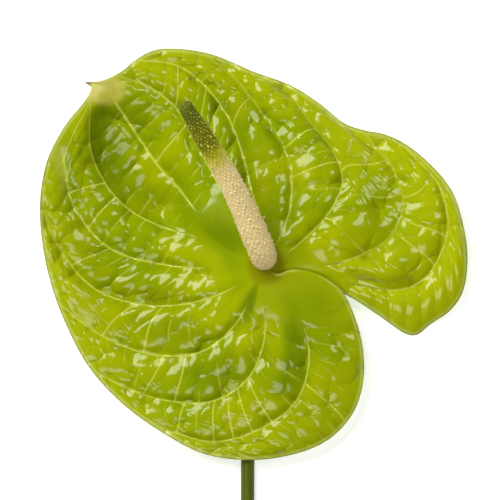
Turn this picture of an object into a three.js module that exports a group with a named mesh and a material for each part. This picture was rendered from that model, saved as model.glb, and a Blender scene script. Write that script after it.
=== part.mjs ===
// A cut anthurium flower lying on a table: a heart-shaped spathe seen face up,
// the spadix that rises from its node, and the leafless stalk it was cut with.
// Millimetres, +Z up, table at z = 0. The stalk lies along -Y and turns up into
// the node, where spathe and spadix meet; the spathe's tip points to -X and +Y.

import * as THREE from 'three';

// ---------------------------------------------------------------- dimensions
const BLADE_THICKNESS = 0.8;
const BLADE_ROWS = 50;                 // steps from the node out to the margin
const STRIP_STEPS = [0, 0.18, 0.5, 0.82]; // columns between one main vein and the next

// How far the blade swells in each strip, from the right lobe's edge round to the lower.
const PANEL_CROWN = [1.4, 1.5, 1.5, 1.4, 1.4, 1.4, 1, 0, 1.3, 1.3, 0.9, 0.8, 0.8, 1];
const HOLLOW_STRIP = 7;                // the strip that sinks instead, into the flower's hollow,
const HOLLOW_DEPTH = 4;                // most of it near the vein on its left
const PANEL_FULL_WIDTH = 15;           // strips this wide or wider swell by the whole crown
const VALLEY_DEPTH = 0.6;              // groove that each main vein lies in
const VALLEY_REACH = 1.8;
const RUNG_PITCH = 6;                  // distance between the side veins that cross a strip
const RUNG_SWELL = 0.42;               // how far the blade swells between two of them
const HOLLOW_ROLL = 0.6;               // and at most this share of it in the hollow
const RELIEF_START = [24, 30, 20, 6, 5, 12, 30, 30, 24, 20, 10, 14, 14, 25, 30]; // smooth to here,
const RELIEF_GROWS = 16;               // measured from the node, and relief grows in over this
const TIP_SMOOTH = 12;                 // the tip is smooth too
const REST_SPOT = [-42.5, 25];         // lowest place of the blade, pressed flat on the table
const REST_SPOT_REACH = 7;
const REST_SPOT_PRESS = 1.8;

const STALK_RADIUS = 2.37;
const STALK_LENGTH_ON_TABLE = 440;
const STALK_SIDES = 16;
const STALK_RINGS = 28;
const NECK_RADIUS = 2.7;
const NECK_LENGTH = 16;
const NECK_DOME = 3;
const SEAT_GAP = 0.35;                 // clearance between pieces where they meet

// The spadix's radius under its florets, at shares of its length.
const SPADIX_RADII = [[0, 4.5], [0.2, 4.6], [0.32, 4.2], [0.45, 3.95], [0.6, 3.55],
  [0.72, 3.25], [0.83, 2.95], [0.91, 2.55], [1, 2]];
const SPADIX_TIP_RADIUS = 2.5;
const FLORETS_AROUND = 16;
const FLORET_RINGS = 60;
const FLORET_HEIGHT = 0.5;
const FLORET_TWIST = 0.012;            // turn from one ring to the next, radians

// ------------------------------------------------- outline and main veins
// Each point is [x, y, height of the upper face]. The node is the origin of x and y.
const NODE = [0, 0, 14.6];

// The inner edge of the right lobe, from the node round its low corner.
const RIGHT_LOBE_EDGE = [
  NODE, [4.1, -3.1, 12.7], [8.5, -5.4, 11.4], [18, -7.9, 8.8], [27.5, -10, 7], [39, -17, 3.8],
  [49.5, -24, 1.3], [53, -24.3, 0.9], [58, -20.5, 1.8], [64.5, -16, 3], [69, -9.5, 4.4],
  [70.7, 1.5, 6], [69.3, 13.5, 7.5], [65, 26.5, 8], [57, 36.2, 7.2],
];
// The outer margin, over the tip and down the left side.
const OUTER_MARGIN = [
  [48.5, 43, 6.4], [41.5, 46.2, 6], [34, 47.7, 6], [27.5, 50, 6], [19.5, 56.5, 6], [9, 63.2, 6.2],
  [-4, 68, 6.5], [-18.5, 74, 7], [-30, 76, 8], [-39, 75.5, 9.5], [-45.5, 72, 11.3],
  [-50.3, 67.9, 13], [-55.5, 65.2, 14.2], [-58.8, 64.3, 14.6], [-63, 63.9, 15],
  [-60.9, 62.2, 14.8], [-61.8, 59.7, 14.7], [-64.2, 56.1, 14.5], [-67.5, 52.3, 14.5],
  [-72, 45.8, 14.5], [-76.5, 36, 14.3], [-78.8, 23, 13], [-78.5, 11, 11], [-76, -3.5, 8.8],
  [-70.5, -19.5, 7.2], [-62, -35.5, 6.6], [-50, -48.5, 6.8], [-36, -58.5, 7.2],
];
const TIP = [-60.5, 62.5];
// The lower lobe's edge, from its outer end back over the right lobe to the node.
const LOWER_LOBE_EDGE = [
  [-22, -65.7, 7.5], [-7, -68, 7.5], [8.5, -66.3, 7], [21, -61.5, 6.5], [29.7, -53, 6.5],
  [33.8, -42.5, 7], [34.2, -31, 8], [31.5, -19, 9.8], [26.5, -8.8, 12], [20, -3.9, 13.4],
  [13.5, -1.6, 14.2], [8.3, -1.3, 14.4], [4, -2.6, 14.4], NODE,
];
// Main veins from right to left, each from the node to the margin; the seventh is the midrib.
const MAIN_VEINS = [
  [NODE, [10, -3, 11.8], [30, -6, 8.6], [47, -8.3, 5.8], [56, -4, 5.8], [63.5, 12, 7.8],
    [60.6, 27.6, 8], [54.4, 35.6, 7.2], [45, 44.8, 6.2]],
  [NODE, [9, -0.5, 13], [28, 2, 11.4], [43.5, 10.3, 8.6], [48, 22, 7.6], [43.6, 36, 6.8],
    [39.3, 41.2, 6.4], [34, 47.7, 6]],
  [NODE, [5, 2.7, 14.2], [21.5, 18, 13], [26.6, 29, 11.5], [24.5, 38, 10], [15, 51, 8.2],
    [9, 59, 7.2], [-4, 68, 6.5]],
  [NODE, [3.5, 7, 14.2], [8.3, 20, 12.5], [8.7, 34, 10.5], [5, 44, 9.5], [-7.7, 62, 8],
    [-14, 68.5, 7.5], [-23, 75, 7.2]],
  [NODE, [1, 8, 14], [-4, 23, 12], [-9.8, 44, 9.5], [-14.5, 54, 9], [-23.5, 65, 8.5],
    [-32, 70.5, 8.8], [-46, 72.3, 10.5]],
  [NODE, [-8, 14, 12.8], [-18, 31, 9.5], [-26.5, 47, 8], [-31, 54.7, 8], [-40.5, 62.3, 9],
    [-52, 66.5, 12]],
  [NODE, [-11, 6.5, 12.3], [-21.5, 15.5, 9.5], [-30.5, 27, 6.5], [-38, 35.3, 4.2], [-46, 47, 5],
    [-51.5, 55.3, 9], [-56.5, 61.8, 13], [-63, 63.9, 15]],
  [NODE, [-9, 2.8, 12.8], [-23.5, 9.8, 8.5], [-37, 14, 5], [-49.5, 21, 5.6], [-58.5, 33, 8.2],
    [-61.3, 42, 10.2], [-61.5, 49, 12.3], [-61.1, 55, 13.8], [-61.8, 59.7, 14.7]],
  [NODE, [-9, -0.5, 12.8], [-32.5, 0, 6.8], [-54.5, 6, 5.6], [-66.5, 19.5, 8.6],
    [-70.2, 31.5, 11.6], [-71.6, 37.5, 13], [-73.9, 42, 14.5]],
  [NODE, [-4, -2.7, 13.8], [-13, -8.4, 11.8], [-26.5, -13, 9], [-43, -13.7, 5.8],
    [-59.5, -8.4, 5], [-70, 2.5, 7.5], [-76.3, 14.5, 10.8], [-78.7, 25, 13]],
  [NODE, [-2.8, -5, 13.7], [-10.5, -20, 11.5], [-22, -29.7, 9], [-39, -31.2, 6.5],
    [-57, -24.7, 5.5], [-73, -12.7, 7]],
  [NODE, [-0.7, -6.5, 13.8], [-0.7, -26.3, 11.5], [-6.7, -39.8, 10], [-18.5, -47.2, 8.5],
    [-35.5, -47, 7], [-50.4, -42, 6], [-62, -35.5, 6.5]],
  [NODE, [2.3, -6, 14], [8.5, -12.7, 13], [15, -29.5, 11], [11, -46.5, 9.5], [-1.5, -56.7, 8.6],
    [-18, -61.4, 7.8], [-32, -58.3, 7.2], [-41, -55.2, 7]],
];
// The plainest cross veins: the strip, then where each leaves the two main veins beside it.
const CROSS_VEINS = [
  [1, [47.6, 23.1], [62, 26.3]], [1, [50, 13], [62.9, 12.4]], [1, [51, 5], [60, 3]],
  [2, [41, 37], [25.5, 33]], [2, [47.6, 25.6], [27, 20.7]], [2, [34, 6], [21.4, 16]],
  [3, [17.9, 48], [6, 41]], [3, [25, 36], [8.5, 31]], [4, [-5, 59], [-12, 49]],
  [5, [-21, 62], [-24.5, 45]], [5, [-30.8, 70], [-31.5, 55.5]], [6, [-28, 49.5], [-38.5, 36]],
  [8, [-57, 28.7], [-67.6, 25.6]], [8, [-53, 24], [-62, 13.5]], [8, [-61.2, 57.5], [-71, 35.5]],
  [9, [-54.9, 5.6], [-65.8, 1.4]], [10, [-36.1, -13.7], [-42.7, -29.4]],
  [10, [-45.2, -14.4], [-57.4, -24.2]], [11, [-28, -31.5], [-31.9, -45.9]],
  [11, [-36.1, -31.5], [-41.7, -42]], [12, [-4.9, -40.3], [1.4, -54]],
  [12, [-9.1, -44], [-4.5, -58]], [12, [-13, -45.9], [-11.2, -60.6]],
  [12, [-17.9, -47.3], [-18.2, -60.6]], [12, [-28.7, -49.7], [-31.2, -56.4]],
  [13, [14.6, -40.8], [27, -54]],
];

// --------------------------------------------------------------- small tools
const CURVE_STEPS = 24;                // straight steps between two points of a smooth line

function smoothLine(points) {
  const curve = new THREE.CatmullRomCurve3(
    points.map((p) => new THREE.Vector3(...p)), false, 'centripetal');
  return curve.getPoints(CURVE_STEPS * (points.length - 1));
}

function runningLengths(line) {
  const lengths = [0];
  for (let i = 1; i < line.length; i += 1) {
    lengths.push(lengths[i - 1] + line[i].distanceTo(line[i - 1]));
  }
  return lengths;
}

function pointAt(line, lengths, distance) {
  let i = 1;
  while (i < line.length - 1 && lengths[i] < distance) i += 1;
  const share = (distance - lengths[i - 1]) / (lengths[i] - lengths[i - 1]);
  return line[i - 1].clone().lerp(line[i], THREE.MathUtils.clamp(share, 0, 1));
}

// The second coordinate of a line at a given first one.
function heightOver(line, x) {
  let i = 1;
  while (i < line.length - 1 && line[i].x < x) i += 1;
  return THREE.MathUtils.mapLinear(x, line[i - 1].x, line[i].x, line[i - 1].y, line[i].y);
}

// A closed body from triangles given as corner numbers.
function solid(points, triangles) {
  const geometry = new THREE.BufferGeometry();
  const flat = points.flatMap((p) => [p.x, p.y, p.z]);
  geometry.setAttribute('position', new THREE.Float32BufferAttribute(flat, 3));
  geometry.setIndex(triangles.flat());
  geometry.computeVertexNormals();
  return geometry;
}

function finish(color, roughness) {
  return new THREE.MeshStandardMaterial({ color, roughness, metalness: 0 });
}

// -------------------------------------------------------------------- spathe
// The blade is woven between its main veins. Vein number k runs over the strips
// between neighbouring veins and share v runs from the node to the margin.
const rim = smoothLine([...RIGHT_LOBE_EDGE, ...OUTER_MARGIN, ...LOWER_LOBE_EDGE]);
const rimLengths = runningLengths(rim);
const rightEnd = CURVE_STEPS * (RIGHT_LOBE_EDGE.length - 1);
const lowerEnd = CURVE_STEPS * (RIGHT_LOBE_EDGE.length + OUTER_MARGIN.length);

const routes = [
  rim.slice(0, rightEnd + 1),
  ...MAIN_VEINS.map(smoothLine),
  rim.slice(lowerEnd).reverse(),
];
const STRIPS = routes.length - 1;

// Points of every route at even shares of its length.
const routeRows = routes.map((line) => {
  const lengths = runningLengths(line);
  const total = lengths[lengths.length - 1];
  return Array.from({ length: BLADE_ROWS + 1 },
    (_, row) => pointAt(line, lengths, (total * row) / BLADE_ROWS));
});

// Where each route meets the rim, as a distance along the rim.
const rimMeetings = routes.map((line, k) => {
  if (k === 0) return rimLengths[rightEnd];
  if (k === STRIPS) return rimLengths[lowerEnd];
  const end = line[line.length - 1];
  const gaps = rim.map((p) => Math.hypot(p.x - end.x, p.y - end.y));
  return rimLengths[gaps.indexOf(Math.min(...gaps))];
});

// Cubic blend across the strips: passes through every route without a crease.
function acrossRoutes(k, row) {
  const strip = Math.min(Math.floor(k), STRIPS - 1);
  const u = k - strip;
  const at = (i) => {
    if (i < 0) return routeRows[0][row].clone().multiplyScalar(2).sub(routeRows[1][row]);
    if (i > STRIPS) {
      return routeRows[STRIPS][row].clone().multiplyScalar(2).sub(routeRows[STRIPS - 1][row]);
    }
    return routeRows[i][row];
  };
  const weights = [
    -u / 2 + u * u - (u ** 3) / 2,
    1 - 2.5 * u * u + 1.5 * u ** 3,
    u / 2 + 2 * u * u - 1.5 * u ** 3,
    (u ** 3 - u * u) / 2,
  ];
  const point = new THREE.Vector3();
  weights.forEach((w, i) => point.addScaledVector(at(strip - 1 + i), w));
  return point;
}

// The smooth blade without its quilting, drawn on to the rim at its far end.
function broadBlade(k, row) {
  const strip = Math.min(Math.floor(k), STRIPS - 1);
  const meeting = THREE.MathUtils.lerp(rimMeetings[strip], rimMeetings[strip + 1], k - strip);
  const miss = pointAt(rim, rimLengths, meeting).sub(acrossRoutes(k, BLADE_ROWS));
  return acrossRoutes(k, row).addScaledVector(miss, (row / BLADE_ROWS) ** 4);
}

// Width of a strip square to its run, and that run from the node to the margin.
function stripMeasures(strip, row) {
  const before = Math.max(row - 1, 0);
  const after = Math.min(row + 1, BLADE_ROWS);
  const middle = (r) => routeRows[strip][r].clone().add(routeRows[strip + 1][r]).divideScalar(2);
  const run = middle(after).sub(middle(before)).multiplyScalar(BLADE_ROWS / (after - before));
  const across = routeRows[strip + 1][row].clone().sub(routeRows[strip][row]);
  const lean = across.dot(run) / run.lengthSq();
  return { width: across.addScaledVector(run, -lean).length(), run: run.length() };
}

// The share of a route's length at which it passes a place.
function shareNear(route, [x, y]) {
  const gaps = routes[route].map((p) => Math.hypot(p.x - x, p.y - y));
  const lengths = runningLengths(routes[route]);
  return lengths[gaps.indexOf(Math.min(...gaps))] / lengths[lengths.length - 1];
}

// Rungs are numbered outwards from the node, closer together towards the margin, and
// numbered so that each plain cross vein is one of them.
const rungEnds = [];
for (let strip = 0; strip < STRIPS; strip += 1) {
  let total = 0;
  for (let row = 0; row <= BLADE_ROWS; row += 1) total += stripMeasures(strip, row).run;
  const whole = Math.max(3, Math.round(total / (BLADE_ROWS + 1) / RUNG_PITCH));
  const ends = [{ start: 0, end: 0, number: 0 }];
  CROSS_VEINS.filter(([home]) => home === strip)
    .map(([, from, to]) => ({ start: shareNear(strip, from), end: shareNear(strip + 1, to) }))
    .sort((a, b) => a.start - b.start)
    .forEach(({ start, end }) => {
      const number = Math.round(whole * ((start + end) / 2) ** 1.25);
      ends.push({ start, end, number: Math.max(number, ends[ends.length - 1].number + 1) });
    });
  ends.push({ start: 1, end: 1, number: Math.max(whole, ends[ends.length - 1].number + 1) });
  rungEnds.push(ends);
}

// How many rungs lie between the node and share v of the way out, at share u across.
function rungCount(strip, u, v) {
  const ends = rungEnds[strip];
  const meets = ends.map(({ start, end }) => THREE.MathUtils.lerp(start, end, u));
  let i = 1;
  while (i < ends.length - 1 && meets[i] < v) i += 1;
  return THREE.MathUtils.mapLinear(
    v, meets[i - 1], meets[i], ends[i - 1].number, ends[i].number);
}

// Quilting: the blade swells between two main veins and a little between two rungs.
function relief(k, row) {
  const { smoothstep, lerp } = THREE.MathUtils;
  const strip = Math.min(Math.floor(k), STRIPS - 1);
  const u = k - strip;
  const v = row / BLADE_ROWS;
  const { width, run } = stripMeasures(strip, row);
  const full = Math.min(1, width / PANEL_FULL_WIDTH);
  const swell = 4 * u * (1 - u);
  // The hollow's own curve is deepest, at 1, two thirds of the way across.
  const hollow = 6.75 * u * u * (1 - u);
  const crown = strip === HOLLOW_STRIP ? -HOLLOW_DEPTH * hollow : PANEL_CROWN[strip] * swell ** 1.5;
  const valley = Math.exp(-(((Math.min(u, 1 - u) * width) / VALLEY_REACH) ** 2));
  const count = rungCount(strip, u, v);
  const fromRung = Math.abs(count - Math.round(count));
  // The blade swells less where rungs follow each other closely.
  const [from, to] = [Math.max(v - 0.01, 0), Math.min(v + 0.01, 1)];
  const rungsPerShare = (rungCount(strip, u, to) - rungCount(strip, u, from)) / (to - from);
  const most = strip === HOLLOW_STRIP ? HOLLOW_ROLL : 1;
  const close = THREE.MathUtils.clamp(run / rungsPerShare / RUNG_PITCH, 0.2, most);
  const roll = 4 * fromRung * (1 - fromRung) * Math.sqrt(swell) * close
    * (1 - smoothstep(v, 0.8, 0.97));

  const start = lerp(RELIEF_START[strip], RELIEF_START[strip + 1], u);
  const place = routeRows[strip][row].clone().lerp(routeRows[strip + 1][row], u);
  const fromTip = Math.hypot(place.x - TIP[0], place.y - TIP[1]);
  const grown = smoothstep(v * run, start, start + RELIEF_GROWS) * Math.min(1, (1 - v) * 12)
    * smoothstep(fromTip, TIP_SMOOTH / 2, TIP_SMOOTH);
  return grown * (crown * full + RUNG_SWELL * roll - VALLEY_DEPTH * valley);
}

function buildSpathe() {
  const columns = [];
  for (let strip = 0; strip < STRIPS; strip += 1) {
    STRIP_STEPS.forEach((step) => columns.push(strip + step));
  }
  columns.push(STRIPS);

  // Upper face. All columns share the node as their first point.
  const upper = columns.map((k) => Array.from({ length: BLADE_ROWS + 1 }, (_, row) => {
    const point = broadBlade(k, row);
    point.z += relief(k, row);
    return point;
  }));

  // How steep the blade is decides how far below the upper face the lower one
  // lies; where the blade would sink into the table it is pressed flat on it.
  const last = columns.length - 1;
  const drop = upper.map((line, c) => line.map((point, row) => {
    if (row === 0) return BLADE_THICKNESS;
    const alongVein = line[Math.min(row + 1, BLADE_ROWS)].clone().sub(line[row - 1]);
    const acrossVein = upper[Math.min(c + 1, last)][row].clone()
      .sub(upper[Math.max(c - 1, 0)][row]);
    const normal = alongVein.cross(acrossVein).normalize();
    return BLADE_THICKNESS / Math.max(Math.abs(normal.z), 0.5);
  }));
  const points = [];
  const upperIndex = [];
  const lowerIndex = [];
  upper.forEach((line, c) => {
    upperIndex.push([]);
    lowerIndex.push([]);
    line.forEach((point, row) => {
      if (row === 0 && c > 0) {
        upperIndex[c].push(upperIndex[0][0]);
        lowerIndex[c].push(lowerIndex[0][0]);
        return;
      }
      const fromSpot = Math.hypot(point.x - REST_SPOT[0], point.y - REST_SPOT[1]);
      const press = REST_SPOT_PRESS * Math.exp(-((fromSpot / REST_SPOT_REACH) ** 4));
      const under = Math.max(point.z - drop[c][row] - press, 0);
      lowerIndex[c].push(points.push(new THREE.Vector3(point.x, point.y, under)) - 1);
      upperIndex[c].push(
        points.push(new THREE.Vector3(point.x, point.y, under + drop[c][row])) - 1);
    });
  });

  const triangles = [];
  const wall = (a, b) => { // between two neighbouring rim points, given as [column, row]
    const [upperA, lowerA] = [upperIndex[a[0]][a[1]], lowerIndex[a[0]][a[1]]];
    const [upperB, lowerB] = [upperIndex[b[0]][b[1]], lowerIndex[b[0]][b[1]]];
    triangles.push([upperA, lowerA, upperB], [upperB, lowerA, lowerB]);
  };
  for (let c = 0; c < last; c += 1) {
    for (let row = 0; row < BLADE_ROWS; row += 1) {
      const corners = [[c, row], [c, row + 1], [c + 1, row + 1], [c + 1, row]];
      const above = corners.map(([i, j]) => upperIndex[i][j]);
      const below = corners.map(([i, j]) => lowerIndex[i][j]);
      triangles.push([above[0], above[1], above[2]], [below[0], below[2], below[1]]);
      if (row > 0) triangles.push([above[0], above[2], above[3]], [below[0], below[3], below[2]]);
    }
    wall([c, BLADE_ROWS], [c + 1, BLADE_ROWS]);
  }
  for (let row = 0; row < BLADE_ROWS; row += 1) {
    wall([0, row], [0, row + 1]);
    wall([last, row + 1], [last, row]);
  }
  return solid(points, triangles);
}

// ---------------------------------------------------- round stems and spikes
// Rings of points carried along a line, closed at both ends by a middle point.
// offset(ring, side) gives each point's distance from the line.
function sweep(line, sides, offset, twist = 0) {
  const points = [];
  const right = new THREE.Vector3(1, 0, 0);
  line.forEach((centre, ring) => {
    const next = line[Math.min(ring + 1, line.length - 1)];
    const previous = line[Math.max(ring - 1, 0)];
    const ahead = next.clone().sub(previous).normalize();
    right.addScaledVector(ahead, -right.dot(ahead)).normalize();
    const top = right.clone().cross(ahead);
    for (let side = 0; side < sides; side += 1) {
      const angle = (2 * Math.PI * (side + 0.5)) / sides + twist * ring;
      points.push(centre.clone()
        .addScaledVector(right, Math.cos(angle) * offset(ring, side))
        .addScaledVector(top, Math.sin(angle) * offset(ring, side)));
    }
  });
  const triangles = [];
  for (let ring = 0; ring < line.length - 1; ring += 1) {
    for (let side = 0; side < sides; side += 1) {
      const a = ring * sides + side;
      const b = ring * sides + ((side + 1) % sides);
      const [c, d] = [a + sides, b + sides];
      // The diagonal joins the two lower corners, so that raised ones stand alone.
      if ((ring + side) % 2) triangles.push([a, d, b], [a, c, d]);
      else triangles.push([a, c, b], [b, c, d]);
    }
  }
  const first = points.push(line[0].clone()) - 1;
  const end = points.push(line[line.length - 1].clone()) - 1;
  const lastRing = (line.length - 1) * sides;
  for (let side = 0; side < sides; side += 1) {
    const next = (side + 1) % sides;
    triangles.push([first, side, next], [end, lastRing + next, lastRing + side]);
  }
  return solid(points, triangles);
}

// The stalk's rings lie closer together towards the neck, where it bends and
// ends in a low dome under the node.
function buildStalk() {
  const axisHeight = STALK_RADIUS * Math.cos(Math.PI / STALK_SIDES);
  const top = NODE[2] - BLADE_THICKNESS - 2 * SEAT_GAP;
  const spine = smoothLine([[-5.6, -STALK_LENGTH_ON_TABLE, axisHeight],
    [-6, -200, axisHeight], [-6.4, -70, axisHeight], [-5.9, -42, 2.4], [-4.9, -25, 2.75],
    [-3.6, -12.5, 4.1], [-1.6, -5.2, 6.4], [-0.35, -1.1, 9.9], [0, 0, top]]);
  const lengths = runningLengths(spine);
  const total = lengths[lengths.length - 1];
  const fromTop = Array.from({ length: STALK_RINGS + 1 },
    (_, i) => total * (1 - i / STALK_RINGS) ** 2.2);
  const line = fromTop.map((distance) => pointAt(spine, lengths, total - distance));
  line.forEach((centre) => centre.setZ(Math.max(centre.z, axisHeight)));
  const radius = (ring) => {
    const distance = fromTop[ring];
    const swollen = THREE.MathUtils.smoothstep(distance, 2, NECK_LENGTH);
    const dome = Math.sin((Math.PI / 2) * Math.min(1, (distance + 0.5) / NECK_DOME));
    return THREE.MathUtils.lerp(NECK_RADIUS, STALK_RADIUS, swollen) * dome;
  };
  return sweep(line, STALK_SIDES, radius);
}

// Florets cover the spadix as four-sided bosses in rings that lie half a step
// apart, so that they run round it in two sets of spirals.
function buildSpadix() {
  const spine = smoothLine([[-0.8, 3, NODE[2] + SEAT_GAP], [-0.9, 3.5, 17.6], [-1.8, 6.2, 20.9],
    [-3.4, 9.9, 23.5], [-12.3, 28.9, 34.7], [-21.9, 44.9, 45], [-28.2, 55.4, 52.8]]);
  const profile = smoothLine(SPADIX_RADII.map(([share, radius]) => [share, radius, 0]));
  const lengths = runningLengths(spine);
  const total = lengths[lengths.length - 1];
  const line = Array.from({ length: FLORET_RINGS + 1 },
    (_, ring) => pointAt(spine, lengths, (total * ring) / FLORET_RINGS));
  const tipStart = 1 - SPADIX_TIP_RADIUS / total;
  const radius = (ring, side) => {
    const share = ring / FLORET_RINGS;
    const taper = heightOver(profile, share);
    const intoTip = Math.max(0, (share - tipStart) / (1 - tipStart));
    const raised = (ring + side) % 2 || ring === 0 ? 0 : FLORET_HEIGHT;
    return (taper + raised) * Math.sqrt(Math.max(1 - intoTip * intoTip, 0.05));
  };
  return sweep(line, 2 * FLORETS_AROUND, radius, FLORET_TWIST);
}

// ------------------------------------------------------------------ assembly
const flower = new THREE.Group();

function add(name, geometry, material) {
  const mesh = new THREE.Mesh(geometry, material);
  mesh.name = name;
  flower.add(mesh);
}

add('spathe', buildSpathe(), finish(0x96a800, 0.25));
add('spadix', buildSpadix(), finish(0xd6be8a, 0.6));
add('stalk', buildStalk(), finish(0x566414, 0.5));

// The origin is the middle of the whole flower's box, at table height.
const box = new THREE.Box3().setFromObject(flower);
const middle = box.getCenter(new THREE.Vector3());
flower.position.set(-middle.x, -middle.y, -box.min.z);

const placed = new THREE.Group();
placed.add(flower);

export default placed;
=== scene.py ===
"""A cut anthurium flower lying face up on a white table: spathe, spadix and stalk.

Lengths in the flower's own sections are millimetres, with the node where spathe,
spadix and stalk meet at x = y = 0 and the table at z = 0, as in the solids.
"""
import math

import bpy
import numpy as np
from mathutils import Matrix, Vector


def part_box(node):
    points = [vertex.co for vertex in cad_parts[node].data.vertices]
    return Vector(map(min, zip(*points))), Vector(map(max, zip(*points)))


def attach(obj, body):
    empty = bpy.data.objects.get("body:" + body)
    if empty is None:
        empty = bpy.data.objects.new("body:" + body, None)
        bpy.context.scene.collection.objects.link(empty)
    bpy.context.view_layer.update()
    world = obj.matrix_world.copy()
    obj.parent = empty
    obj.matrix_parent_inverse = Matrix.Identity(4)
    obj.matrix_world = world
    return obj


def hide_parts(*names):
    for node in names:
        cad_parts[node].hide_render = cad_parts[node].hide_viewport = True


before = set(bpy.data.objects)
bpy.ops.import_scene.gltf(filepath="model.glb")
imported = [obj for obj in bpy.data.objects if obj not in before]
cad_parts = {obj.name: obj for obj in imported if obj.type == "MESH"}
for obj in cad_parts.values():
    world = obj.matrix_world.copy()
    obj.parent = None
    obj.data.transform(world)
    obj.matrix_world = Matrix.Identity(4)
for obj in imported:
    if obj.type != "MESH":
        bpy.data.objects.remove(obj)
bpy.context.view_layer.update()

# ------------------------------------------------------------------ spathe
# The spathe is one thick waxy bract, heart-shaped, folded where its two basal
# lobes lap over each other. Fourteen strips between its main veins swell up
# like quilting, and finer veins cross each strip like the rungs of a ladder.
MM = 0.001
NODE = (0, 0, 14.6)
BLADE_THICKNESS = 0.8
BLADE_ROWS = 200               # steps from the node out to the margin
STRIP_STEPS = (0, 0.02, 0.045, 0.085, 0.14, 0.21, 0.3, 0.4)   # columns up to mid-strip

# How far the blade swells in each strip, from the right lobe's edge round to the lower.
PANEL_CROWN = (1.4, 1.5, 1.5, 1.4, 1.4, 1.4, 1.0, 0, 1.3, 1.3, 0.9, 0.8, 0.8, 1.0)
HOLLOW_STRIP = 7               # the strip that sinks instead, into the flower's hollow,
HOLLOW_DEPTH = 4               # most of it near the vein on its left
PANEL_FULL_WIDTH = 15          # strips this wide or wider swell by the whole crown
VALLEY_DEPTH = 0.5             # groove that each main vein lies in
VALLEY_REACH = 1.6
VEIN_RIDGE = 0.12              # fine raised line along the bottom of that groove
VEIN_RIDGE_REACH = 0.4
RUNG_PITCH = 6                 # distance between the rungs that cross a strip
RUNG_SWELL = 0.42              # how far the blade swells between two of them
HOLLOW_ROLL = 0.6              # and at most this share of it in the hollow
RUNG_CROWDING = 1.25           # rungs lie closer together towards the margin by this power
# The blade is smooth round the node: millimetres to where relief starts, vein by vein.
RELIEF_START = (24, 30, 20, 6, 5, 12, 30, 30, 24, 20, 10, 14, 14, 25, 30)
RELIEF_GROWS = 16              # relief grows in over this distance
TIP_SMOOTH = 12                # and round the tip the blade is smooth too
TIP = np.array([-60.5, 62.5, 14.8])
CREAM_MIDDLE = (-57, 61.5, 14)
LEFT_VEIN = 9                  # a cross vein carries this one on to the tip
REST_SPOT = (-42.5, 25)        # the lowest place, pressed flat on the table
REST_SPOT_REACH = 7
REST_SPOT_PRESS = 1.8
PRESS_SHARE = 0.3              # of it that the finer blade needs
EDGE_ROUNDING = 0.5            # the margin thins over this distance
EDGE_SHARE = 0.35              # down to this share of the thickness
LEAST_THICKNESS = 0.25         # where it is pressed flat
TABLE_GAP = 0.02               # nothing sinks into the table

# x, y and height of the upper face, along the edges and the main veins.
RIGHT_LOBE_EDGE = [
    NODE, (3.2, -3.8, 13.2), (8.5, -6, 11.4), (18, -7.9, 8.8), (27.5, -10, 7), (39, -17, 3.8),
    (49.5, -24, 1.3), (53, -24.3, 0.9), (58, -20.5, 1.8), (64.5, -16, 3), (69, -9.5, 4.4),
    (70.7, 1.5, 6), (69.3, 13.5, 7.5), (65, 26.5, 8), (57, 36.2, 7.2)]
OUTER_MARGIN = [
    (48.5, 43, 6.4), (41.5, 46.2, 6), (34, 47.7, 6), (27.5, 50, 6), (19.5, 56.5, 6),
    (9, 63.2, 6.2), (-4, 68, 6.5), (-18.5, 74, 7), (-30, 76, 8), (-39, 75.5, 9.5),
    (-45.5, 72, 11.3), (-50.3, 67.9, 13), (-55.5, 65.2, 14.2), (-58.8, 64.3, 14.6),
    (-63, 63.9, 15), (-60.9, 62.2, 14.8), (-61.8, 59.7, 14.7), (-64.2, 56.1, 14.5),
    (-67.5, 52.3, 14.5), (-72, 45.8, 14.5), (-76.5, 36, 14.3), (-78.8, 23, 13),
    (-78.5, 11, 11), (-76, -3.5, 8.8), (-70.5, -19.5, 7.2), (-62, -35.5, 6.6),
    (-50, -48.5, 6.8), (-36, -58.5, 7.2)]
HOOK = 14                      # the place in that list of the small hook at the tip
LOWER_LOBE_EDGE = [
    (-22, -65.7, 7.5), (-7, -68, 7.5), (8.5, -66.3, 7), (21, -61.5, 6.5), (29.7, -53, 6.5),
    (33.8, -42.5, 7), (34.2, -31, 8), (31.5, -19, 9.8), (26.5, -8.8, 12), (20, -3.9, 13.4),
    (13.5, -1.6, 14.2), (8.3, -1.3, 14.4), (4, -2.6, 14.4), NODE]
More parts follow.
